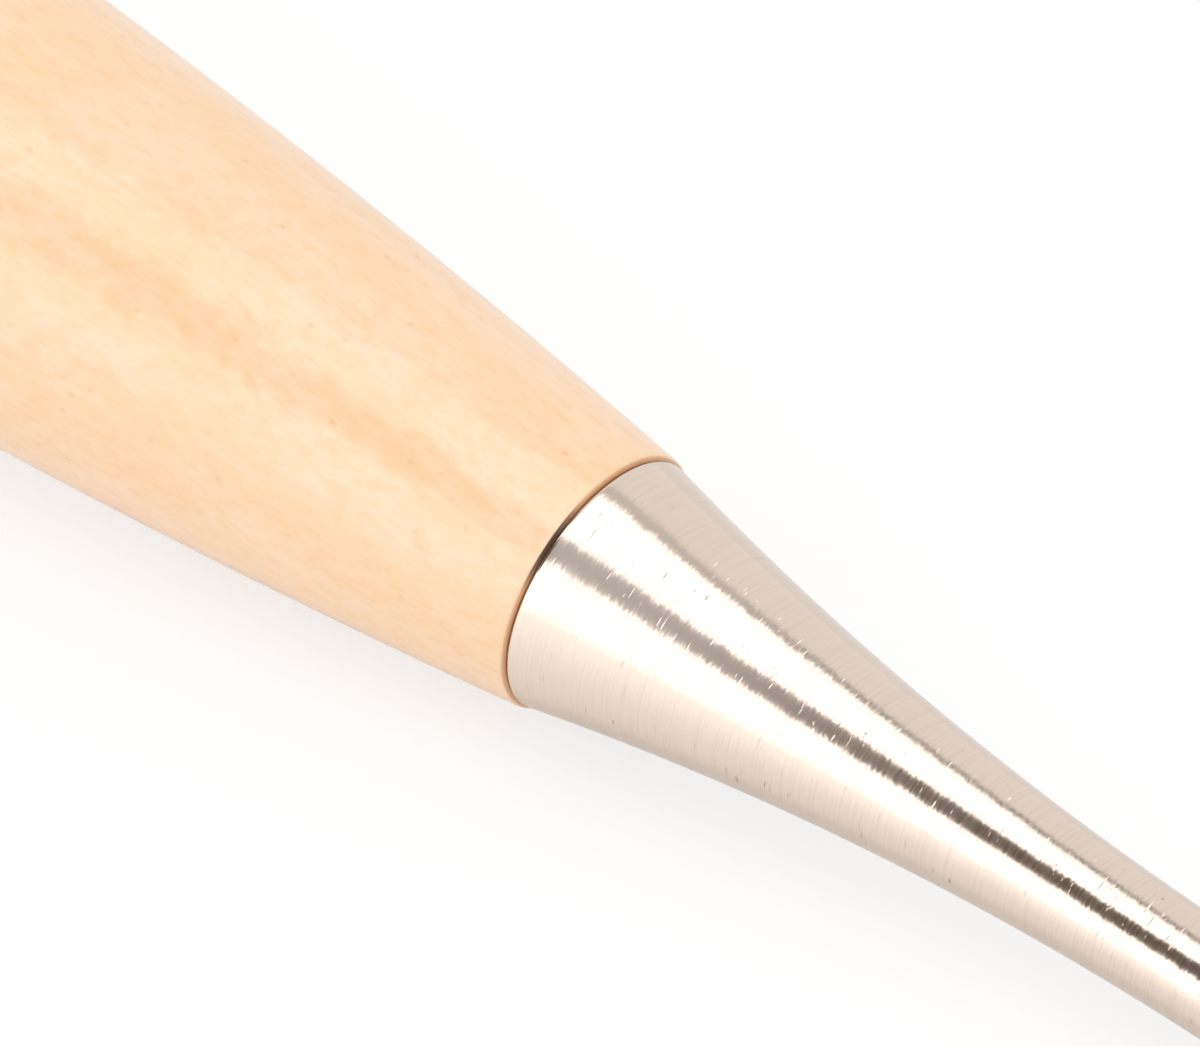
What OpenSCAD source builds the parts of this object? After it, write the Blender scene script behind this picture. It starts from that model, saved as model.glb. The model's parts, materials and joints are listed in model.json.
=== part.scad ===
// Bradawl: a turned wooden handle, a trumpet-shaped metal ferrule and a forged steel blade.
// The pieces are drawn on the tool's own axis, which is Z, with the ferrule's rim at 0,
// the blade towards +Z and the handle towards -Z.
// lie_down() then sets the tool on a bench as it rests, on its handle and its blade.

/* [Handle] */
// Diameter of the grip at its widest
belly_d = 25.2; // [21:0.1:32]
// Distance from the shoulder back to the widest place
belly_at = 78; // [60:1:95]
// Distance from the widest place to the end of the butt
butt_len = 26; // [20:0.5:40]
// Radius of the domed end of the butt
butt_round = 9; // [6:0.1:10]
// How far the wood stands proud of the ferrule's rim, on the radius
shoulder_step = 0.4; // [0.1:0.05:1.5]
// Rounding of the shoulder's edge
shoulder_round = 0.9; // [0.3:0.05:1.5]
// Length of the spigot that carries the ferrule
spigot_len = 8; // [5:0.1:11]
// Chamfer that leads the spigot into the ferrule
spigot_chamfer = 0.5; // [0.2:0.05:1]

/* [Ferrule] */
// Diameter of the rim beside the shoulder
rim_d = 14.1; // [12:0.1:17]
// Rounding of the rim's outer edge
rim_round = 0.3; // [0.1:0.05:0.6]
// Length of the concave sweep from the rim to the neck
sweep_len = 40; // [30:0.5:60]
// Length of the straight neck in front of the sweep
neck_len = 4; // [1.5:0.1:12]
// Wall of the neck around the blade
neck_wall = 0.5; // [0.35:0.05:1.5]
// Chamfer at the front of the neck
neck_chamfer = 0.25; // [0.1:0.05:0.3]
// Least wall around the spigot, at the bottom of the socket
socket_wall = 0.85; // [0.5:0.05:1.4]

/* [Blade] */
// Diameter of the round shank in front of the ferrule
shank_d = 3.8; // [3:0.1:5]
// Length of the straight round shank in front of the ferrule
shank_len = 25; // [12:0.5:70]
// How far the root inside the ferrule is larger than the shank, on the radius
root_step = 0.2; // [0.1:0.05:0.4]
// How far the collar stands out around the root, on the radius
collar_lip = 1.1; // [0.6:0.05:1.3]
// Thickness of the collar
collar_t = 2.2; // [1.2:0.1:4]
// Length of the hollow-ground faces
grind_len = 18; // [8:0.5:22]
// Thickness of the blade between its ground faces, behind the edge
web_t = 1.0; // [0.5:0.05:1.4]
// How far the forged edge spreads past the shank, on each side
edge_spread = 0.2; // [0.1:0.05:0.27]
// Length of the spread that stays round, behind the ground faces
spread_lead = 1; // [0.5:0.1:4]
// Length of the two bevels that make the edge
bevel_len = 1.2; // [0.6:0.1:2]
// Flat that is left on the edge
edge_land = 0.12; // [0.06:0.02:0.3]
// Length of the square tang inside the handle
tang_len = 42; // [24:1:60]
// Width of the tang beside the collar
tang_w = 3.2; // [2.6:0.1:4]
// Width of the tang at its end
tang_end_w = 1.6; // [1:0.1:2.4]

/* [Fits] */
// Clearance of the spigot in the ferrule, on the radius
press_gap = 0.02; // [0.01:0.01:0.05]
// Clearance around the blade in the ferrule and the handle, on each side
slip_gap = 0.05; // [0.02:0.01:0.1]
// Gap between the rim and the shoulder
rim_gap = 0.15; // [0.05:0.05:0.3]

/* [Hidden] */

wood_colour = [0.96, 0.82, 0.66];
nickel_colour = [0.80, 0.77, 0.73];
steel_colour = [0.66, 0.67, 0.68];

$fn = 128;
// Facets of a full turn for the long flat arcs, whose centres lie far from the tool
arc_facets = 1440;
// Steps along the two long flat arcs of the turned outlines, the handle's flank and the ferrule's sweep
flank_steps = 24;
sweep_steps = 32;
// How far a cutter reaches past the faces that it cuts
overcut = 1;
// How far two arcs that run into each other overlap, so that they cross and leave no sliver
graze = 0.01;

// Radius of an arc that starts parallel to the axis and moves sideways by rise over run
function arc_radius(run, rise) = (run * run + rise * rise) / (2 * rise);

// Sizes of the blade across its axis
shank_r = shank_d / 2;
root_r = shank_r + root_step;
collar_r = root_r + collar_lip;
edge_r = shank_r + edge_spread;

// Ferrule's sweep: one arc from the rim that runs out into the neck
rim_r = rim_d / 2;
neck_r = root_r + slip_gap + neck_wall;
ferrule_len = sweep_len + neck_len;
sweep_radius = arc_radius(sweep_len, rim_r - neck_r);
sweep_centre = [neck_r + sweep_radius, sweep_len];
function sweep_r(z) = sweep_centre.x - sqrt(pow(sweep_radius, 2) - pow(sweep_len - z, 2));
// Rounding of the rim: how far its centre lies from the faces, its centre, and where it ends
rim_inset = rim_round - graze;
rim_edge = [
    sweep_centre.x - sqrt(pow(sweep_radius + rim_inset, 2) - pow(sweep_len - rim_inset, 2)),
    rim_inset
];
rim_edge_end = sweep_len - (sweep_len - rim_inset) * sweep_radius / (sweep_radius + rim_inset);

// Spigot, and the seat of the blade's collar between its end and the ferrule
spigot_r = sweep_r(spigot_len) - socket_wall - press_gap;
collar_seat = spigot_len + collar_t + slip_gap;

// Handle's flank: one arc from the shoulder to the belly
belly_r = belly_d / 2;
shoulder_r = rim_r + shoulder_step;
shoulder_z = -rim_gap;
belly_z = shoulder_z - belly_at;
butt_z = belly_z - butt_len;
flank_radius = arc_radius(belly_at, belly_r - shoulder_r);
flank_centre = [belly_r - flank_radius, belly_z];
function flank_r(z) = flank_centre.x + sqrt(pow(flank_radius, 2) - pow(z - belly_z, 2));
// Rounding of the shoulder: how far its centre lies from the faces, its centre, and where it starts
shoulder_inset = shoulder_round - graze;
shoulder_edge = [
    flank_centre.x + sqrt(pow(flank_radius - shoulder_inset, 2) - pow(belly_at - shoulder_inset, 2)),
    shoulder_z - shoulder_inset
];
shoulder_edge_start = belly_z
    + (belly_at - shoulder_inset) * flank_radius / (flank_radius - shoulder_inset);
// Rear arc that leaves the belly along the axis and runs into the dome of the butt
dome_inset = butt_round - graze;
dome_centre = [0, butt_z + butt_round];
rear_radius = dome_inset + arc_radius(butt_len - butt_round, belly_r + graze - dome_inset);
rear_centre = [belly_r + graze - rear_radius, belly_z];
dome_start = belly_z - (butt_len - butt_round) * rear_radius / (rear_radius - dome_inset);

// Places along the blade
tang_z = spigot_len - tang_len;
spread_start = ferrule_len + shank_len;
grind_start = spread_start + spread_lead;
bevel_start = grind_start + grind_len;
edge_z = bevel_start + bevel_len;
function spread_r(z) = shank_r + edge_spread * (z - spread_start) / (edge_z - spread_start);
grind_radius = arc_radius(grind_len, spread_r(grind_start) - web_t / 2);

// Rest on a bench: the flank and the lowest place of the blade touch it, so the tip points down
// by the least angle at which one of these places [along the axis, out from it] comes down
blade_rests = [
    [grind_start, spread_r(grind_start)],
    [bevel_start, web_t / 2],
    [edge_z, edge_land / 2]
];
function tilt_onto(place) =
    let (away = [place.x - flank_centre.y, place.y - flank_centre.x])
    atan2(away.x, away.y) - acos(flank_radius / norm(away));
rest_tilt = min([for (place = blade_rests) tilt_onto(place)]);
rest_lift = flank_centre.x * cos(rest_tilt) + flank_centre.y * sin(rest_tilt) + flank_radius;
// The origin is under the middle of the tool's length as it lies
butt_reach = dome_centre.y * cos(rest_tilt) - butt_round;
edge_reach = edge_z * cos(rest_tilt) + edge_land / 2 * sin(rest_tilt);

// The half turn puts the seams of the round faces on top
module lie_down() {
    translate([-(butt_reach + edge_reach) / 2, 0, rest_lift])
        rotate([0, 90 + rest_tilt, 0])
            rotate(180)
                children();
}

// Everything from the axis out to a radius, between two heights of a turned outline
module band(from_z, to_z, radius) {
    polygon([[0, from_z], [radius, from_z], [radius, to_z], [0, to_z]]);
}

module disc(centre, radius, facets = $fn) {
    translate(centre) circle(radius, $fn = facets);
}

module handle_outline() {
    flank = [for (step = [0:flank_steps]) let (z = belly_z + belly_at * step / flank_steps) [flank_r(z), z]];
    // Each arc limits the outline on its own stretch, and lets all pass elsewhere
    intersection() {
        polygon(concat([[0, butt_z], [belly_r, butt_z]], flank, [[0, shoulder_z]]));
        union() {
            disc(rear_centre, rear_radius, arc_facets);
            band(belly_z, shoulder_z, belly_r + overcut);
        }
        union() {
            disc(dome_centre, butt_round);
            band(dome_start, shoulder_z, belly_r + overcut);
        }
        union() {
            disc(shoulder_edge, shoulder_round);
            band(butt_z - overcut, shoulder_edge_start, belly_r + overcut);
            band(butt_z, shoulder_z, shoulder_edge.x);
        }
    }
}

// Square bar that tapers evenly, between two heights, with its sides grown by a clearance
module square_taper(from_z, from_w, to_z, to_w, grow = 0) {
    from_half = from_w / 2 + grow;
    to_half = to_w / 2 + grow;
    side = [[-from_half, from_z], [from_half, from_z], [to_half, to_z], [-to_half, to_z]];
    widest = 2 * max(from_half, to_half) + overcut;
    intersection_for (turn = [0, 90])
        rotate([90, 0, turn]) linear_extrude(widest, center = true) polygon(side);
}

module handle() {
    lie_down() color(wood_colour) difference() {
        union() {
            rotate_extrude() handle_outline();
            translate([0, 0, shoulder_z]) cylinder(spigot_len - shoulder_z - spigot_chamfer, r = spigot_r);
            translate([0, 0, spigot_len - spigot_chamfer])
                cylinder(spigot_chamfer, spigot_r, spigot_r - spigot_chamfer);
        }
        square_taper(tang_z - slip_gap, tang_end_w, spigot_len, tang_w, slip_gap);
    }
}

module ferrule_outline() {
    sweep = [for (step = [0:sweep_steps]) let (z = sweep_len * step / sweep_steps) [sweep_r(z), z]];
    intersection() {
        polygon(concat([[0, 0]], sweep, [
            [neck_r, ferrule_len - neck_chamfer],
            [neck_r - neck_chamfer, ferrule_len],
            [0, ferrule_len]
        ]));
        union() {
            disc(rim_edge, rim_round);
            band(0, ferrule_len, rim_edge.x);
            band(rim_edge_end, ferrule_len, rim_r);
        }
    }
}

module ferrule() {
    lie_down() color(nickel_colour) difference() {
        rotate_extrude() ferrule_outline();
        translate([0, 0, -overcut]) cylinder(spigot_len + overcut, r = spigot_r + press_gap);
        cylinder(collar_seat, r = collar_r + slip_gap);
        cylinder(ferrule_len + overcut, r = root_r + slip_gap);
    }
}

module blade() {
    grind_width = 2 * edge_r + overcut;
    // The ground faces look up and down as the tool lies
    lie_down() rotate(90) color(steel_colour) difference() {
        union() {
            square_taper(tang_z, tang_end_w, spigot_len, tang_w);
            translate([0, 0, spigot_len]) cylinder(collar_t, r = collar_r);
            translate([0, 0, spigot_len]) cylinder(ferrule_len - spigot_len, r = root_r);
            translate([0, 0, ferrule_len]) cylinder(shank_len, r = shank_r);
            translate([0, 0, spread_start]) cylinder(edge_z - spread_start, shank_r, edge_r);
        }
        for (side = [0, 180]) rotate(side) {
            // Hollow left by the grinding wheel
            translate([0, web_t / 2 + grind_radius, bevel_start])
                rotate([0, 90, 0])
                    cylinder(grind_width, r = grind_radius, center = true, $fn = arc_facets);
            // Bevel of the edge
            rotate([90, 0, 90]) linear_extrude(grind_width, center = true) polygon([
                [web_t / 2, bevel_start],
                [edge_land / 2, edge_z],
                [edge_land / 2, edge_z + overcut],
                [edge_r + overcut, edge_z + overcut],
                [edge_r + overcut, bevel_start]
            ]);
        }
    }
}

handle();
ferrule();
blade();
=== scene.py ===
"""Bradawl with a turned wooden handle, a trumpet-shaped metal ferrule and a forged steel blade.

The tool lies on a white floor and is seen from above its blade, close to the joint of wood and metal.
Its pieces are drawn in the tool's own frame, whose Z runs along its axis from the ferrule's rim at 0,
with the blade towards +Z and the handle towards -Z. X points up from the floor.
"""
import json
import math

import bpy
from mathutils import Matrix, Vector


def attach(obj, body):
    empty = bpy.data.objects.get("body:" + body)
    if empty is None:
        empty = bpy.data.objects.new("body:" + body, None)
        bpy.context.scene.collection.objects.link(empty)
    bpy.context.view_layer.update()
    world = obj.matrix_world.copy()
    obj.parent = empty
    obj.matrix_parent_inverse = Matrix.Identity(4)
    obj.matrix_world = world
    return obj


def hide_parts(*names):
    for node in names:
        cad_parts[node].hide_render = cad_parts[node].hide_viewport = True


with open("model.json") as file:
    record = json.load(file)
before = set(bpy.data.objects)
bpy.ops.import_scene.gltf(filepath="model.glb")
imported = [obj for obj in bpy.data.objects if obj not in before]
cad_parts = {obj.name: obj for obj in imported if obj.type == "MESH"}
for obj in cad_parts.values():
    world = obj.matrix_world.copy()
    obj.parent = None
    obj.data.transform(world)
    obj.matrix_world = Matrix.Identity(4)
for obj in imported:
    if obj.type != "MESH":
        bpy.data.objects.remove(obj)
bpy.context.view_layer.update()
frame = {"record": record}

MM = 0.001

# Handle
BELLY_R = 12.6 * MM
BELLY_AT = 78 * MM
BUTT_LEN = 26 * MM
BUTT_ROUND = 9 * MM
SHOULDER_STEP = 0.15 * MM
SHOULDER_ROUND = 0.35 * MM
SPIGOT_LEN = 8 * MM
SPIGOT_CHAMFER = 0.5 * MM

# Ferrule
RIM_R = 7.05 * MM
RIM_ROUND = 0.2 * MM
SWEEP_LEN = 40 * MM
NECK_LEN = 4 * MM
NECK_WALL = 0.5 * MM
NECK_CHAMFER = 0.25 * MM
SOCKET_WALL = 0.85 * MM

# Blade
SHANK_R = 1.9 * MM
SHANK_LEN = 25 * MM
ROOT_STEP = 0.2 * MM
COLLAR_LIP = 1.1 * MM
COLLAR_T = 2.2 * MM
GRIND_LEN = 18 * MM
WEB_T = 1.0 * MM
EDGE_SPREAD = 0.2 * MM
SPREAD_LEAD = 1 * MM
BEVEL_LEN = 1.2 * MM
EDGE_LAND = 0.12 * MM
TANG_LEN = 42 * MM
TANG_W = 3.2 * MM
TANG_END_W = 1.6 * MM

# Fits
PRESS_GAP = 0.02 * MM
SLIP_GAP = 0.05 * MM
# Gap by which the handle's belly is set out behind the rim, and the closed gap that shows at the joint
RIM_GAP = 0.15 * MM
CLOSED_GAP = 0.03 * MM

# Places that follow from the sizes
ROOT_R = SHANK_R + ROOT_STEP
COLLAR_R = ROOT_R + COLLAR_LIP
NECK_R = ROOT_R + SLIP_GAP + NECK_WALL
SHOULDER_R = RIM_R + SHOULDER_STEP
FERRULE_LEN = SWEEP_LEN + NECK_LEN
COLLAR_SEAT = SPIGOT_LEN + COLLAR_T + SLIP_GAP
SHOULDER_Z = -CLOSED_GAP
BELLY_Z = -RIM_GAP - BELLY_AT
BUTT_Z = BELLY_Z - BUTT_LEN
TANG_Z = SPIGOT_LEN - TANG_LEN
SPREAD_START = FERRULE_LEN + SHANK_LEN
GRIND_START = SPREAD_START + SPREAD_LEAD
BEVEL_START = GRIND_START + GRIND_LEN
EDGE_Z = BEVEL_START + BEVEL_LEN

# Points round a ring, and the angle at which two faces count as an edge
SIDES = 192
SHARP_ANGLE = math.radians(15)
# Steps along the arcs of the outlines, the ground faces and the bevels
DOME_STEPS = 32
REAR_STEPS = 24
FLANK_STEPS = 72
SHOULDER_STEPS = 14
RIM_STEPS = 12
SWEEP_STEPS = 96
GRIND_STEPS = 60
BEVEL_STEPS = 4
# Least cosine to divide by, for directions that run along the ground faces
LEAST_COSINE = 1e-9


def arc_radius(run, rise):
    """Radius of an arc that starts parallel to the axis and moves sideways by rise over run."""
    return (run * run + rise * rise) / (2 * rise)


SWEEP_RADIUS = arc_radius(SWEEP_LEN, RIM_R - NECK_R)
SWEEP_CENTRE = (NECK_R + SWEEP_RADIUS, SWEEP_LEN)


def sweep_r(z):
    """Radius of the ferrule's sweep."""
    return SWEEP_CENTRE[0] - math.sqrt(SWEEP_RADIUS ** 2 - (SWEEP_LEN - z) ** 2)


SPIGOT_R = sweep_r(SPIGOT_LEN) - SOCKET_WALL - PRESS_GAP


def tool_frame():
    """Frame of the tool's axis, from the mount at the middle of the shank."""
    mount = next(m for m in frame["record"]["mounts"] if m["name"] == "shank")
    along = Vector(mount["axis"]).normalized()
    rim = Vector(mount["pos_m"]) - along * (FERRULE_LEN + SHANK_LEN / 2)
    across = Vector((0, -1, 0))
    up = across.cross(along)
    turn = Matrix((up, across, along)).transposed().to_4x4()
    return Matrix.Translation(rim) @ turn


TOOL = tool_frame()


# Shapes

def arc(centre, radius, start, end, steps):
    """Points (r, z) along an arc of a turned outline, with angles from straight out towards the tip."""
    angles = [start + (end - start) * step / steps for step in range(steps + 1)]
    return [(centre[0] + radius * math.cos(a), centre[1] + radius * math.sin(a)) for a in angles]


def polar_ring(z, angles, radius_at):
    """Points of a ring round the axis, whose radius may change with the angle."""
    return [Vector((radius_at(a) * math.cos(a), radius_at(a) * math.sin(a), z)) for a in angles]


EVEN_ANGLES = [math.tau * side / SIDES for side in range(SIDES)]


def round_ring(r, z):
    """Ring of one radius."""
    return polar_ring(z, EVEN_ANGLES, lambda angle: r)


def square_ring(half, z):
    """Ring in the shape of a square, given by half its width."""
    def radius_at(angle):
        return half / max(abs(math.cos(angle)), abs(math.sin(angle)))
    return polar_ring(z, EVEN_ANGLES, radius_at)


def skin(name, rings, loop=False, ends=None):
    """Piece over a stack of rings, whose ends meet in a loop or close at points on the axis."""
    points = [point for ring in rings for point in ring]
    sides = len(rings[0])
    faces = []
    for low in range(len(rings) if loop else len(rings) - 1):
        high = (low + 1) % len(rings)
        for side in range(sides):
            following = (side + 1) % sides
            below = (low * sides + side, low * sides + following)
            above = (high * sides + following, high * sides + side)
            faces.append(below + above)
    if ends:
        first = len(points)
        points += [Vector((0, 0, z)) for z in ends]
        last_ring = (len(rings) - 1) * sides
        for side in range(sides):
            following = (side + 1) % sides
            faces.append((first, following, side))
            faces.append((first + 1, last_ring + side, last_ring + following))
    mesh = bpy.data.meshes.new(name)
    mesh.from_pydata([TOOL @ point for point in points], [], faces)
    mesh.shade_smooth()
    mesh.set_sharp_from_angle(angle=SHARP_ANGLE)
    piece = bpy.data.objects.new(name, mesh)
    bpy.context.collection.objects.link(piece)
    return piece


def handle():
    """Domed butt, belly, flank and rounded shoulder, with the spigot and the socket of the tang."""
    dome_centre = (0, BUTT_Z + BUTT_ROUND)
    rear_radius = BUTT_ROUND + arc_radius(BUTT_LEN - BUTT_ROUND, BELLY_R - BUTT_ROUND)
    rear_centre = (BELLY_R - rear_radius, BELLY_Z)
    dome_end = math.atan2(dome_centre[1] - rear_centre[1], dome_centre[0] - rear_centre[0])
    pole_gap = math.radians(2)
    flank_radius = arc_radius(SHOULDER_Z - BELLY_Z, BELLY_R - SHOULDER_R)
    flank_centre = (BELLY_R - flank_radius, BELLY_Z)
    edge_z = SHOULDER_Z - SHOULDER_ROUND
    edge_reach = math.sqrt((flank_radius - SHOULDER_ROUND) ** 2 - (edge_z - BELLY_Z) ** 2)
    edge_centre = (flank_centre[0] + edge_reach, edge_z)
    flank_end = math.atan2(edge_z - BELLY_Z, edge_reach)
    outline = arc(dome_centre, BUTT_ROUND, pole_gap - math.pi / 2, dome_end, DOME_STEPS)
    outline += arc(rear_centre, rear_radius, dome_end, 0, REAR_STEPS)[1:]
    outline += arc(flank_centre, flank_radius, 0, flank_end, FLANK_STEPS)[1:]
    outline += arc(edge_centre, SHOULDER_ROUND, flank_end, math.pi / 2, SHOULDER_STEPS)[1:]
    outline += [
        (SPIGOT_R, SHOULDER_Z),
        (SPIGOT_R, SPIGOT_LEN - SPIGOT_CHAMFER),
        (SPIGOT_R - SPIGOT_CHAMFER, SPIGOT_LEN),
    ]
    rings = [round_ring(r, z) for r, z in outline]
    socket_end = TANG_Z - SLIP_GAP
    rings.append(square_ring(TANG_W / 2 + SLIP_GAP, SPIGOT_LEN))
    rings.append(square_ring(TANG_END_W / 2 + SLIP_GAP, socket_end))
    return skin("turned_handle", rings, ends=(BUTT_Z, socket_end))


def ferrule():
    """Rounded rim, concave sweep and neck, with the bore, the collar's seat and the spigot's socket."""
    edge_reach = math.sqrt((SWEEP_RADIUS + RIM_ROUND) ** 2 - (SWEEP_LEN - RIM_ROUND) ** 2)
    edge_centre = (SWEEP_CENTRE[0] - edge_reach, RIM_ROUND)
    sweep_start = math.atan2(SWEEP_LEN - RIM_ROUND, edge_reach)
    socket_r = SPIGOT_R + PRESS_GAP
    bore_r = ROOT_R + SLIP_GAP
    seat_r = COLLAR_R + SLIP_GAP
    outline = [(socket_r, 0)]
    outline += arc(edge_centre, RIM_ROUND, -math.pi / 2, sweep_start, RIM_STEPS)
    outline += arc(SWEEP_CENTRE, SWEEP_RADIUS, math.pi + sweep_start, math.pi, SWEEP_STEPS)[1:]
    outline += [
        (NECK_R, FERRULE_LEN - NECK_CHAMFER),
        (NECK_R - NECK_CHAMFER, FERRULE_LEN),
        (bore_r, FERRULE_LEN),
        (bore_r, COLLAR_SEAT),
        (seat_r, COLLAR_SEAT),
        (seat_r, SPIGOT_LEN),
        (socket_r, SPIGOT_LEN),
    ]
    return skin("swept_ferrule", [round_ring(r, z) for r, z in outline], loop=True)


def spread_r(z):
    """Radius of the blade's round sides, which spread towards the edge."""
    return SHANK_R + EDGE_SPREAD * (z - SPREAD_START) / (EDGE_Z - SPREAD_START)


GRIND_RADIUS = arc_radius(GRIND_LEN, spread_r(GRIND_START) - WEB_T / 2)


def ground_half(z):
    """Half thickness between the hollow-ground faces, and between the bevels in front of them."""
    if z > BEVEL_START:
        return WEB_T / 2 - (WEB_T - EDGE_LAND) / 2 * (z - BEVEL_START) / BEVEL_LEN
    return WEB_T / 2 + GRIND_RADIUS - math.sqrt(GRIND_RADIUS ** 2 - (BEVEL_START - z) ** 2)


def ground_ring(z):
    """Ring of the blade's end, with points on the creases beside its ground faces."""
    half = ground_half(z)
    r = spread_r(z)
    least_crease = math.radians(10)
    crease = max(math.acos(min(half / r, 1)), least_crease)
    quarter = SIDES // 4
    on_face = quarter // 2
    on_side = quarter - on_face
    turns = [crease * step / on_face for step in range(on_face)]
    turns += [crease + (math.pi / 2 - crease) * step / on_side for step in range(on_side)]
    mirrored = [math.pi - turn for turn in reversed(turns[1:])]
    half_turn = turns + [math.pi / 2] + mirrored
    angles = half_turn + [angle + math.pi for angle in half_turn]
    return polar_ring(z, angles, lambda angle: min(r, half / max(abs(math.cos(angle)), LEAST_COSINE)))


def blade():
    """Square tang, collar, root, round shank and the hollow-ground chisel end."""
    rings = [
        square_ring(TANG_END_W / 2, TANG_Z),
        square_ring(TANG_W / 2, SPIGOT_LEN),
        round_ring(COLLAR_R, SPIGOT_LEN),
        round_ring(COLLAR_R, SPIGOT_LEN + COLLAR_T),
        round_ring(ROOT_R, SPIGOT_LEN + COLLAR_T),
        round_ring(ROOT_R, FERRULE_LEN),
        round_ring(SHANK_R, FERRULE_LEN),
        round_ring(SHANK_R, SPREAD_START),
    ]
    for step in range(GRIND_STEPS + 1):
        rings.append(ground_ring(GRIND_START + GRIND_LEN * step / GRIND_STEPS))
    for step in range(1, BEVEL_STEPS + 1):
        rings.append(ground_ring(BEVEL_START + BEVEL_LEN * step / BEVEL_STEPS))
    return skin("forged_blade", rings, ends=(TANG_Z, EDGE_Z))


# Materials

def srgb(red, green, blue):
    """Colour as a shader takes it, from the 0 to 255 values of a picture."""
    def linear(value):
        share = value / 255
        return share / 12.92 if share <= 0.04045 else ((share + 0.055) / 1.055) ** 2.4
    return (linear(red), linear(green), linear(blue), 1)


class Shader:
    """Node tree of one material or world, built by short calls."""

    def __init__(self, owner):
        owner.use_nodes = True
        self.tree = owner.node_tree
        self.tree.nodes.clear()

    def add(self, kind, inputs=None, **settings):
        """New node with its inputs set or linked, which gives back its outputs."""
        made = self.tree.nodes.new("ShaderNode" + kind)
        for name, value in settings.items():
            setattr(made, name, value)
        for socket, value in (inputs or {}).items():
            if isinstance(value, bpy.types.NodeSocket):
                self.tree.links.new(value, made.inputs[socket])
            else:
                made.inputs[socket].default_value = value
        return made.outputs[0] if len(made.outputs) == 1 else made.outputs

    def millimetres(self, around=1, along=1):
        """Place on the tool's axis in millimetres, with its ways across and along scaled."""
        values = {
            "Vector": self.add("TexCoord")["Object"],
            "Location": TOOL.translation,
            "Rotation": TOOL.to_euler(),
            "Scale": (MM / around, MM / around, MM / along),
        }
        return self.add("Mapping", values, vector_type="TEXTURE")

    def along(self):
        """Place along the tool's axis, in millimetres from the rim."""
        return self.add("SeparateXYZ", {0: self.millimetres()})["Z"]

    def noise(self, vector, detail=2, roughness=0.5):
        values = {"Vector": vector, "Scale": 1, "Detail": detail, "Roughness": roughness}
        return self.add("TexNoise", values)["Fac"]

    def ramp(self, value, low, high, to_low=0, to_high=1):
        """Smooth change from one level to another, as a value goes from low to high."""
        values = {"Value": value, "From Min": low, "From Max": high, "To Min": to_low, "To Max": to_high}
        return self.add("MapRange", values, interpolation_type="SMOOTHSTEP")["Result"]

    def math(self, operation, first, second=0, third=0):
        return self.add("Math", {0: first, 1: second, 2: third}, operation=operation)

    def mix(self, factor, first, second):
        """Colour between two, whose sockets come after those of the node's other kinds."""
        return self.add("Mix", {0: factor, 6: first, 7: second}, data_type="RGBA")[2]

    def vector(self, operation, inputs, output="Vector"):
        return self.add("VectorMath", inputs, operation=operation)[output]

    def bump(self, height, depth, normal=None):
        values = {"Height": height, "Distance": depth, "Strength": 1}
        if normal is not None:
            values["Normal"] = normal
        return self.add("Bump", values)

    def surface(self, shader):
        self.add_output("OutputMaterial", shader)

    def background(self, shader):
        self.add_output("OutputWorld", shader)

    def add_output(self, kind, shader):
        node = self.tree.nodes.new("ShaderNode" + kind)
        self.tree.links.new(shader, node.inputs["Surface"])


def leant_normal(shader, marks, lean):
    """Surface normal that leans round the axis, this way and that, by marks of 0 to 1."""
    normal = shader.add("NewGeometry")["Normal"]
    around = shader.vector("CROSS_PRODUCT", {0: TOOL.col[2].xyz, 1: normal})
    swing_values = {"Value": marks, "To Min": -lean, "To Max": lean}
    swing = shader.add("MapRange", swing_values, clamp=False)["Result"]
    leant = shader.vector("SCALE", {0: around, "Scale": swing})
    return shader.vector("NORMALIZE", {0: shader.vector("ADD", {0: normal, 1: leant})})


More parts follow.
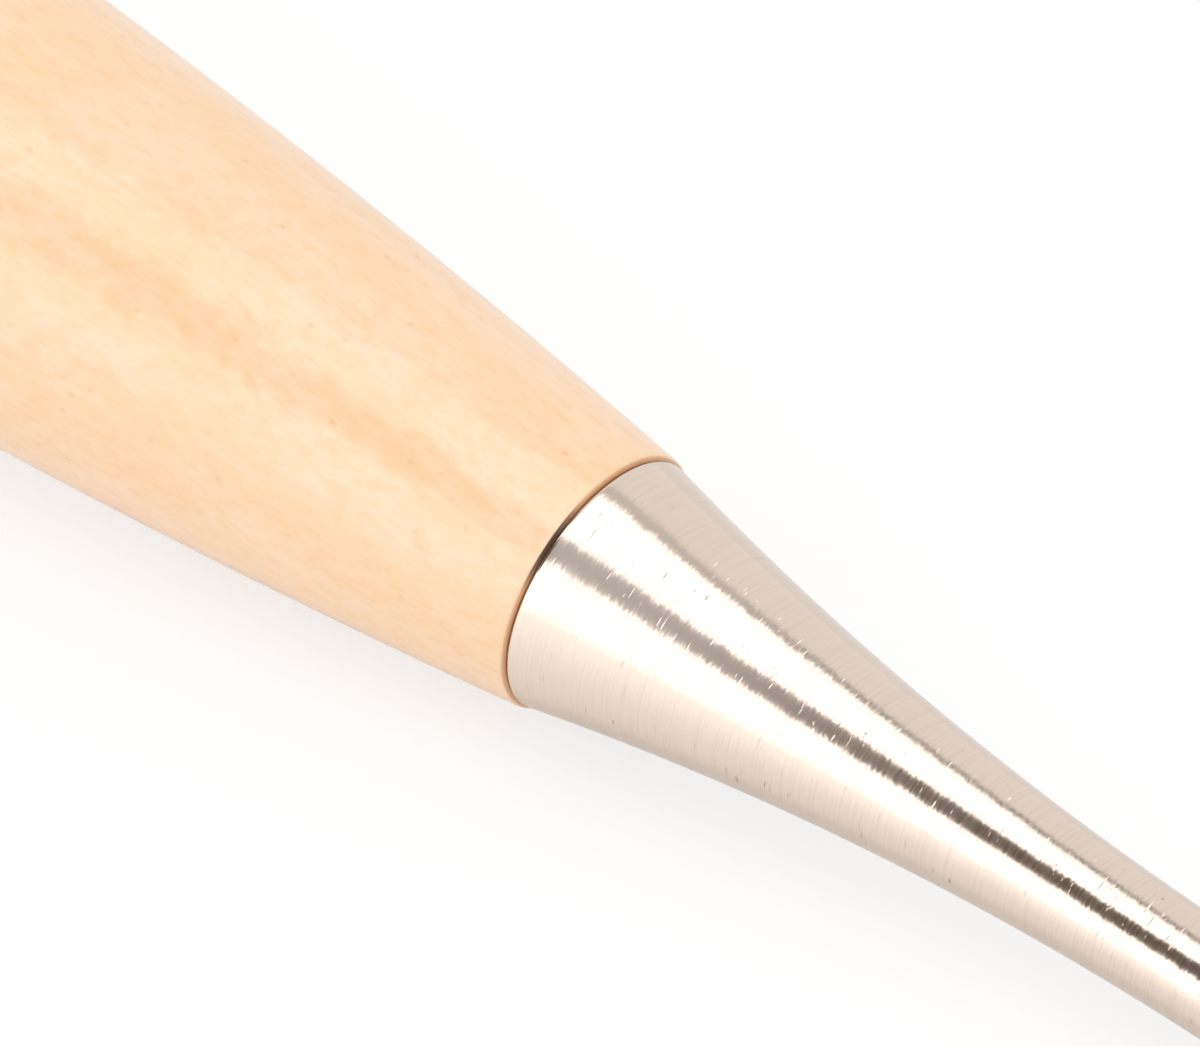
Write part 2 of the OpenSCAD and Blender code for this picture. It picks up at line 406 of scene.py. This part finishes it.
def lacquered_wood():
    """Pale fine-grained hardwood under a clear satin lacquer, with painted shade beside the joint and
    darker painted shade in the gap where the joint has opened a little.
    """
    material = bpy.data.materials.new("lacquered_wood_finish")
    shader = Shader(material)
    honey = srgb(253, 214, 174)
    cream = srgb(254, 219, 185)
    straw = srgb(252, 206, 156)
    fleck = srgb(238, 184, 132)
    # Painted shade beside the joint, and darker painted shade in its opened gap
    painted_joint_shade = srgb(215, 162, 116)
    painted_gap_shade = srgb(60, 42, 32)
    # Way across the axis on which the joint has opened, where its gap gets a darker painted shade
    open_side = (0.8, 0.6, 0)
    fibre_depth = 0.001 * MM
    ripple_lean = 0.2
    figure = shader.noise(shader.millimetres(around=0.35, along=0.1), detail=5)
    tone = shader.mix(shader.ramp(figure, low=0.35, high=0.65), honey, cream)
    mottle = shader.noise(shader.millimetres(around=1.4, along=0.8), detail=5, roughness=0.6)
    tone = shader.mix(shader.ramp(mottle, low=0.42, high=0.68, to_high=0.55), tone, straw)
    fibre = shader.noise(shader.millimetres(around=4, along=0.7), detail=3)
    tone = shader.mix(shader.ramp(fibre, low=0.45, high=0.8, to_high=0.2), tone, fleck)
    cells = shader.add("TexVoronoi", {"Vector": shader.millimetres(around=0.9, along=0.6), "Scale": 1})
    chance = shader.add("SeparateColor", {0: cells["Color"]})["Red"]
    near = shader.ramp(cells["Distance"], low=0.04, high=0.2, to_low=0.5, to_high=0)
    spot = shader.math("MULTIPLY", near, shader.ramp(chance, low=0.35, high=0.9))
    tone = shader.mix(spot, tone, fleck)
    # Painted shade on the wood beside the joint with the ferrule
    tone = shader.mix(shader.ramp(shader.along(), low=-0.2, high=-0.06), tone, painted_joint_shade)
    # Darker painted shade in the gap on the side where the joint has opened a little
    towards = shader.vector("DOT_PRODUCT", {0: shader.millimetres(), 1: open_side}, "Value")
    at_joint = shader.ramp(shader.along(), low=-0.15, high=-0.1)
    painted_gap_mask = shader.math("MULTIPLY", shader.ramp(towards, low=6.5, high=7.1), at_joint)
    tone = shader.mix(painted_gap_mask, tone, painted_gap_shade)
    ripple = shader.noise(shader.millimetres(around=1.2, along=0.45), detail=6, roughness=0.7)
    normal = shader.bump(fibre, fibre_depth, leant_normal(shader, ripple, ripple_lean))
    gloss = {"Base Color": tone, "Roughness": 0.18, "IOR": 1.6, "Normal": normal}
    shader.surface(shader.add("BsdfPrincipled", gloss))
    return material


def satin_nickel():
    """Plated metal with fine turning marks round the axis, scuffs and a few scratches."""
    material = bpy.data.materials.new("satin_nickel_finish")
    shader = Shader(material)
    bright = srgb(223, 207, 193)
    dull = srgb(208, 191, 177)
    scuff_share = 0.7
    wave_share = 0.3
    mark_lean = 0.08
    line_depth = 0.0006 * MM
    lines = shader.noise(shader.millimetres(around=0.15, along=8), detail=2)
    tone = shader.mix(shader.ramp(lines, low=0.4, high=0.75, to_high=0.3), bright, dull)
    scuffs = shader.noise(shader.millimetres(around=0.9, along=7), detail=3, roughness=0.6)
    waves = shader.noise(shader.millimetres(around=0.6, along=0.8), detail=2)
    scuffed = shader.math("MULTIPLY", scuffs, scuff_share)
    marks = shader.math("ADD", scuffed, shader.math("MULTIPLY", waves, wave_share))
    scratch = shader.noise(shader.millimetres(around=1, along=9), detail=1)
    marks = shader.math("ADD", marks, shader.ramp(scratch, low=0.7, high=0.76, to_high=2))
    normal = shader.bump(lines, line_depth, leant_normal(shader, marks, mark_lean))
    roughness = shader.ramp(lines, low=0.3, high=0.7, to_low=0.13, to_high=0.19)
    gloss = {"Base Color": tone, "Metallic": 1, "Roughness": roughness, "Normal": normal}
    shader.surface(shader.add("BsdfPrincipled", gloss))
    return material


def ground_steel():
    """Polished shank with marks round it, and a duller ground end with marks along it."""
    material = bpy.data.materials.new("ground_steel_finish")
    shader = Shader(material)
    bright = srgb(202, 202, 203)
    dull = srgb(176, 176, 178)
    matt = srgb(132, 132, 135)
    matt_share = 0.7
    matt_roughness = 0.12
    mark_depth = 0.001 * MM
    ground_from = GRIND_START / MM
    blend_len = 1
    round_marks = shader.noise(shader.millimetres(around=0.3, along=8), detail=2)
    long_marks = shader.noise(shader.millimetres(around=8, along=0.12), detail=2)
    ground = shader.ramp(shader.along(), ground_from, ground_from + blend_len)
    on_shank = shader.math("MULTIPLY", round_marks, shader.math("SUBTRACT", 1, ground))
    marks = shader.math("ADD", on_shank, shader.math("MULTIPLY", long_marks, ground))
    tone = shader.mix(shader.ramp(marks, low=0.35, high=0.7, to_high=0.5), bright, dull)
    tone = shader.mix(shader.math("MULTIPLY", ground, matt_share), tone, matt)
    normal = shader.bump(marks, mark_depth)
    polish = shader.ramp(marks, low=0.3, high=0.7, to_low=0.16, to_high=0.26)
    roughness = shader.math("ADD", polish, shader.math("MULTIPLY", ground, matt_roughness))
    gloss = {"Base Color": tone, "Metallic": 1, "Roughness": roughness, "Normal": normal}
    shader.surface(shader.add("BsdfPrincipled", gloss))
    return material


def dress(piece, node, material):
    """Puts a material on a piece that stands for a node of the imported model."""
    piece.data.materials.append(material)
    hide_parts(node)
    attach(piece, "root")


dress(handle(), "handle", lacquered_wood())
dress(ferrule(), "ferrule", satin_nickel())
dress(blade(), "blade", ground_steel())


# Camera: the photograph's size, the rim's place in it and its scale at the rim
PHOTO_W = 1200
PHOTO_H = 1046
RIM_PIXEL_X = 598
RIM_PIXEL_Y = 584
PIXELS_PER_MM = 20.25
CAMERA_DISTANCE = 500 * MM
CAMERA_AZIMUTH = math.radians(40.3)
CAMERA_ELEVATION = math.radians(41.2)
SENSOR_W = 36


def add_camera():
    """Camera that looks down past the blade, with the rim at its place in the picture."""
    data = bpy.data.cameras.new("camera")
    data.sensor_fit = "HORIZONTAL"
    data.sensor_width = SENSOR_W
    data.lens = SENSOR_W * CAMERA_DISTANCE / MM * PIXELS_PER_MM / PHOTO_W
    pitch = Matrix.Rotation(math.pi / 2 - CAMERA_ELEVATION, 4, "X")
    turn = Matrix.Rotation(CAMERA_AZIMUTH, 4, "Z") @ pitch
    pixel = MM / PIXELS_PER_MM
    right = (PHOTO_W / 2 - RIM_PIXEL_X) * pixel
    up = (RIM_PIXEL_Y - PHOTO_H / 2) * pixel
    offset = Vector((right, up, CAMERA_DISTANCE))
    camera = bpy.data.objects.new("camera", data)
    camera.matrix_world = Matrix.Translation(TOOL.translation) @ turn @ Matrix.Translation(offset)
    bpy.context.collection.objects.link(camera)
    bpy.context.scene.camera = camera


# Light: soft lamps above and in front, and the glowing white and dark cards that only reflections show, as
# painted reflections of the lamps and the gaps between them
# Lengths are in metres, and angles in degrees from the floor in front, over the top, to the floor behind
WHITE = (1, 1, 1, 1)
GAP_WARM = (1, 0.83, 0.72, 1)
GAP_COOL = (0.9, 0.93, 1, 1)
STAGE_R = 0.75
LAMP_LENGTH = 0.8
LAMP_SHIFT = -0.1
OVERHEAD_FROM = 66
OVERHEAD_TO = 112
OVERHEAD_RADIANCE = 0.5
FRONT_FROM = 4
FRONT_TO = 44
FRONT_RADIANCE = 0.5
FILL_RADIANCE = 0.9
# Brightness and tints of the cards' painted reflections
CARD_WHITE = 1.95
CARD_LOW = 1.42
CARD_LOW_TOP = 0.13
FRAME_LIGHT = 0.68
FRAME_DARK = 0.3
FRAME_DARK_AT = -0.08
FRAME_LIGHT_AT = -0.02
GAP_LIGHT = 0.67
GAP_DARK = 0.14
GAP_DARK_AT = -0.08
GAP_LIGHT_AT = 0.01
CARD_STEP = 5
# Stations of each card: place along the tool, and the two angles between which the card lies
OVERHEAD_STATIONS = [
    (2.5, 67, 114),
    (0, 67, 113.5),
    (-0.05, 67, 112.5),
    (-0.14, 67, 102.5),
    (-0.3, 67, 85),
    (-2.5, 67, 85),
]
FRAME_STATIONS = [
    (2.5, 114, 128),
    (0, 113.5, 127),
    (-0.05, 112.5, 123),
    (-0.14, 102.5, 113.5),
    (-0.3, 85, 96),
    (-2.5, 85, 96),
]
GAP_STATIONS = [(2.5, 51.5, 67), (0.2, 51.5, 67), (-0.3, 35.5, 67), (-2.5, 35.5, 67)]
FRONT_STATIONS = [(2.5, 0, 51.5), (0.2, 0, 51.5), (-0.3, 0, 35.5), (-2.5, 0, 35.5)]


def on_stage(x, angle):
    """Place on a round wall about the tool."""
    turn = math.radians(angle)
    return Vector((x, -STAGE_R * math.cos(turn), STAGE_R * math.sin(turn)))


def add_lamp(name, start, end, radiance):
    """Rectangular lamp that faces the tool between two angles, and lights it without a reflection."""
    middle = (start + end) / 2
    width = 2 * STAGE_R * math.tan(math.radians(end - start) / 2)
    data = bpy.data.lights.new(name, "AREA")
    data.shape = "RECTANGLE"
    data.size = LAMP_LENGTH
    data.size_y = width
    data.energy = radiance * math.pi * LAMP_LENGTH * width
    lamp = bpy.data.objects.new(name, data)
    facing = Matrix.Rotation(math.radians(90 - middle), 4, "X")
    lamp.matrix_world = Matrix.Translation(on_stage(LAMP_SHIFT, middle)) @ facing
    lamp.visible_camera = False
    lamp.visible_glossy = False
    bpy.context.collection.objects.link(lamp)


def steady(strength):
    """Glow of one strength."""
    return lambda shader: {"Color": WHITE, "Strength": strength}


def rising(axis, low_at, high_at, low, high, low_tint=WHITE, high_tint=WHITE):
    """Glow that rises along an axis of the stage, and turns from one tint to another."""
    def glow(shader):
        place = shader.add("SeparateXYZ", {0: shader.add("TexCoord")["Object"]})[axis]
        tint = shader.mix(shader.ramp(place, low_at, high_at), low_tint, high_tint)
        return {"Color": tint, "Strength": shader.ramp(place, low_at, high_at, low, high)}
    return glow


def add_stage_mesh(name, points, faces, material):
    """Surface of the surroundings, which is no part of the tool."""
    mesh = bpy.data.meshes.new(name)
    mesh.from_pydata(points, [], faces)
    mesh.materials.append(material)
    made = bpy.data.objects.new(name, mesh)
    bpy.context.collection.objects.link(made)
    return made


def add_card(name, stations, glow):
    """Glowing card on the round wall, between two angles at each of its stations, for reflections only: a
    painted reflection of a lamp or of a dark gap.
    """
    widest = max(end - start for x, start, end in stations)
    steps = math.ceil(widest / CARD_STEP)
    points = []
    for x, start, end in stations:
        points += [on_stage(x, start + (end - start) * step / steps) for step in range(steps + 1)]
    faces = []
    for station in range(len(stations) - 1):
        for step in range(steps):
            corner = station * (steps + 1) + step
            faces.append((corner, corner + 1, corner + steps + 2, corner + steps + 1))
    material = bpy.data.materials.new(name)
    shader = Shader(material)
    shader.surface(shader.add("Emission", glow(shader)))
    card = add_stage_mesh(name, points, faces, material)
    card.visible_camera = False
    card.visible_diffuse = False
    card.visible_shadow = False
    card.visible_transmission = False


def add_world():
    """White surroundings, a little weaker as a light than as they are seen."""
    world = bpy.data.worlds.new("studio")
    bpy.context.scene.world = world
    shader = Shader(world)
    path = shader.add("LightPath")
    seen = shader.math("MAXIMUM", path["Is Camera Ray"], path["Is Glossy Ray"])
    seen = shader.math("MAXIMUM", seen, path["Is Transmission Ray"])
    strength = shader.ramp(seen, 0, 1, FILL_RADIANCE, 1)
    shader.background(shader.add("Background", {"Color": WHITE, "Strength": strength}))


# Floor: its paint, the reach of the tool's shadow, and its painted glow in reflections, with a painted
# shadow at the tool's foot
FLOOR_HALF = 6
FLOOR_ALBEDO = 0.85
FLOOR_WHITE = 1.1
FLOOR_LIFT = 0.65
SHADOW_REACH = 0.25
SHADOW_FADE = 0.6
# Painted glow of the floor in reflections, and a painted shadow in it at the tool's foot
SHEEN_NEAR = 0.006
SHEEN_RISE = 0.025
SHEEN_GAIN = 0.4
CONTACT_FROM = -0.0075
CONTACT_TO = -0.0045
CONTACT_SHEEN = 0.9
MIRRORED_SHADE = 0.65


def floor_sheen(shader, place):
    """Painted glow of the floor in reflections, which rises from the tool's foot towards the front, with a
    painted shadow at the foot.
    """
    y = shader.add("SeparateXYZ", {0: place})["Y"]
    front = shader.math("MULTIPLY_ADD", y, 1 / SHEEN_RISE, SHEEN_NEAR / SHEEN_RISE)
    fall = shader.math("MINIMUM", shader.math("EXPONENT", front), 1)
    rise = shader.math("MULTIPLY_ADD", fall, -SHEEN_GAIN, 1 + SHEEN_GAIN)
    # Painted shadow in the floor's reflections at the tool's foot
    painted_contact_shadow = shader.ramp(y, CONTACT_FROM, CONTACT_TO, 1, CONTACT_SHEEN)
    return shader.math("MULTIPLY", rise, painted_contact_shadow)


def floor_material():
    """White floor that keeps the tool's shadow near it."""
    material = bpy.data.materials.new("floor")
    shader = Shader(material)
    path = shader.add("LightPath")
    place = shader.add("TexCoord")["Object"]
    away = shader.vector("LENGTH", {0: place}, "Value")
    lift = shader.ramp(away, SHADOW_REACH, SHADOW_FADE, FLOOR_LIFT, 1)
    paint = shader.add("BsdfDiffuse", {"Color": (FLOOR_ALBEDO, FLOOR_ALBEDO, FLOOR_ALBEDO, 1)})
    white = shader.add("Emission", {"Color": WHITE, "Strength": FLOOR_WHITE})
    lifted = shader.add("MixShader", {0: lift, 1: paint, 2: white})
    # Reflections show part of the floor's lit paint under the painted glow
    sheen = shader.math("MULTIPLY_ADD", floor_sheen(shader, place), 1 / (1 - MIRRORED_SHADE),
                        -FLOOR_ALBEDO * MIRRORED_SHADE / (1 - MIRRORED_SHADE))
    glow = shader.add("Emission", {"Color": WHITE, "Strength": sheen})
    mirrored = shader.add("MixShader", {0: 1 - MIRRORED_SHADE, 1: paint, 2: glow})
    glossy = shader.math("MAXIMUM", path["Is Glossy Ray"], path["Is Transmission Ray"])
    unseen = shader.add("MixShader", {0: glossy, 1: paint, 2: mirrored})
    shader.surface(shader.add("MixShader", {0: path["Is Camera Ray"], 1: unseen, 2: lifted}))
    return material


def add_floor():
    half = FLOOR_HALF
    corners = [(-half, -half, 0), (half, -half, 0), (half, half, 0), (-half, half, 0)]
    add_stage_mesh("floor", corners, [(0, 1, 2, 3)], floor_material())


add_camera()
add_lamp("overhead_lamp", OVERHEAD_FROM, OVERHEAD_TO, OVERHEAD_RADIANCE)
add_lamp("front_lamp", FRONT_FROM, FRONT_TO, FRONT_RADIANCE)
add_card("overhead_card", OVERHEAD_STATIONS, steady(CARD_WHITE))
frame_glow = rising("X", FRAME_DARK_AT, FRAME_LIGHT_AT, FRAME_DARK, FRAME_LIGHT)
add_card("card_frame", FRAME_STATIONS, frame_glow)
gap_glow = rising("X", GAP_DARK_AT, GAP_LIGHT_AT, GAP_DARK, GAP_LIGHT, GAP_WARM, GAP_COOL)
add_card("dark_gap", GAP_STATIONS, gap_glow)
add_card("front_card", FRONT_STATIONS, rising("Z", 0, CARD_LOW_TOP, CARD_LOW, CARD_WHITE))
add_world()
add_floor()

bpy.context.scene.view_settings.view_transform = "Standard"
bpy.context.view_layer.update()
